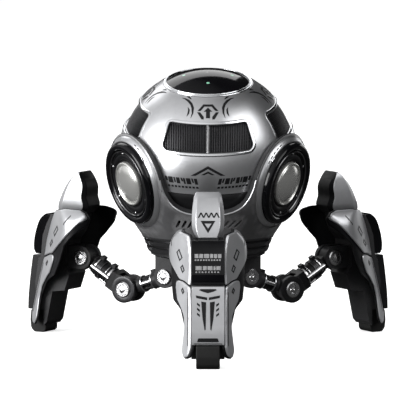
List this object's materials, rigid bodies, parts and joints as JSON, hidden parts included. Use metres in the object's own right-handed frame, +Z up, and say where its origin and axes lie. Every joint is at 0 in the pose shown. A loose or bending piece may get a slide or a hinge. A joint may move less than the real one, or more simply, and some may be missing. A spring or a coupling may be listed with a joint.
{
  "type": "ball speaker on a three-legged armoured stand",
  "caption": "Ball-shaped wireless speaker resting in a lobed metal cradle carried by jointed, armoured spider-like legs; the ball lifts out.",
  "frame": {"origin": "centre of the flat pad under the cradle's base, on the body's vertical axis", "axes": "+Z up along the body's axis, the front leg points towards -Y, +X is to the right seen from the front"},
  "size_m": [0.1836, 0.1601, 0.1382],
  "materials": {
    "silver_paint": "satin, fine metallic grain",
    "gunmetal_paint": "satin dark metallic",
    "graphite_paint": "satin near-black metallic",
    "black_plastic": "semi-matte moulded",
    "gloss_black": "glossy",
    "polished_trim": "polished",
    "pin_steel": "turned",
    "disc_alloy": "satin",
    "grille_mesh": "black ribbed mesh",
    "led_lens": "green indicator lens",
    "foot_rubber": "matte",
    "cone_pulp": "matte",
    "cell_wrap": "shrink wrap",
    "board": "solder mask"
  },
  "bodies": {
    "cradle": {"cradle_shell": "gunmetal_paint", "base_ring": "gunmetal_paint", "base_plate": "black_plastic", "base_screws": "pin_steel", "driver_bezels": "disc_alloy", "driver_rings": "gloss_black", "driver_trims": "polished_trim", "driver_cones": "black_plastic", "driver_domes": "disc_alloy", "hip_brackets": "black_plastic", "hip_pins": "pin_steel"},
    "ball": {"upper_shell": "silver_paint", "lower_shell": "graphite_paint", "window_grilles": "grille_mesh", "top_ring": "polished_trim", "top_panel": "gloss_black", "status_leds": "led_lens", "chassis": "black_plastic", "speaker_frames": "black_plastic", "speaker_cones": "cone_pulp", "battery": "cell_wrap", "main_board": "board", "usb_port": "pin_steel", "shell_screws": "pin_steel"},
    "front_inner_arm": {"front_inner_link": "black_plastic", "front_inner_rods": "pin_steel"},
    "front_outer_arm": {"front_outer_link": "black_plastic", "front_outer_rods": "pin_steel", "front_elbow_pin": "pin_steel"},
    "front_shin": {"front_shin_core": "black_plastic", "front_shin_pin": "pin_steel", "front_side_wings": "silver_paint", "front_screen_panel": "gloss_black", "front_shin_plate": "silver_paint", "front_toe": "foot_rubber", "front_knee_cap": "silver_paint"},
    "right_inner_arm": {"right_inner_link": "black_plastic", "right_inner_rods": "pin_steel"},
    "right_outer_arm": {"right_outer_link": "black_plastic", "right_outer_rods": "pin_steel", "right_elbow_pin": "pin_steel"},
    "right_shin": {"right_shin_core": "black_plastic", "right_shin_pin": "pin_steel", "right_side_wings": "silver_paint", "right_screen_panel": "gloss_black", "right_shin_plate": "silver_paint", "right_toe": "foot_rubber", "right_knee_cap": "silver_paint"},
    "left_inner_arm": {"left_inner_link": "black_plastic", "left_inner_rods": "pin_steel"},
    "left_outer_arm": {"left_outer_link": "black_plastic", "left_outer_rods": "pin_steel", "left_elbow_pin": "pin_steel"},
    "left_shin": {"left_shin_core": "black_plastic", "left_shin_pin": "pin_steel", "left_side_wings": "silver_paint", "left_screen_panel": "gloss_black", "left_shin_plate": "silver_paint", "left_toe": "foot_rubber", "left_knee_cap": "silver_paint"}
  },
  "joints": [
    {"name": "ball_lift", "type": "slide", "parent": "cradle", "child": "ball", "axis": [0, 0, 1], "range_m": [0, 0.1]},
    {"name": "front_hip", "type": "hinge", "parent": "cradle", "child": "front_inner_arm", "pos_m": [0, -0.0223, -0.0109], "axis": [-1, 0, 0], "range_deg": [-15, 20]},
    {"name": "front_elbow", "type": "hinge", "parent": "front_inner_arm", "child": "front_outer_arm", "pos_m": [0, -0.0463, -0.01875], "axis": [1, 0, 0], "range_deg": [-20, 25]},
    {"name": "front_ankle", "type": "hinge", "parent": "front_outer_arm", "child": "front_shin", "pos_m": [0, -0.0715, -0.0039], "axis": [1, 0, 0], "range_deg": [-25, 25]},
    {"name": "right_hip", "type": "hinge", "parent": "cradle", "child": "right_inner_arm", "pos_m": [0.01931, 0.01115, -0.0109], "axis": [0.5, -0.866, 0], "range_deg": [-15, 20]},
    {"name": "right_elbow", "type": "hinge", "parent": "right_inner_arm", "child": "right_outer_arm", "pos_m": [0.0401, 0.02315, -0.01875], "axis": [-0.5, 0.866, 0], "range_deg": [-20, 25]},
    {"name": "right_ankle", "type": "hinge", "parent": "right_outer_arm", "child": "right_shin", "pos_m": [0.06192, 0.03575, -0.0039], "axis": [-0.5, 0.866, 0], "range_deg": [-25, 25]},
    {"name": "left_hip", "type": "hinge", "parent": "cradle", "child": "left_inner_arm", "pos_m": [-0.01931, 0.01115, -0.0109], "axis": [0.5, 0.866, 0], "range_deg": [-15, 20]},
    {"name": "left_elbow", "type": "hinge", "parent": "left_inner_arm", "child": "left_outer_arm", "pos_m": [-0.0401, 0.02315, -0.01875], "axis": [-0.5, -0.866, 0], "range_deg": [-20, 25]},
    {"name": "left_ankle", "type": "hinge", "parent": "left_outer_arm", "child": "left_shin", "pos_m": [-0.06192, 0.03575, -0.0039], "axis": [-0.5, -0.866, 0], "range_deg": [-25, 25]}
  ]
}
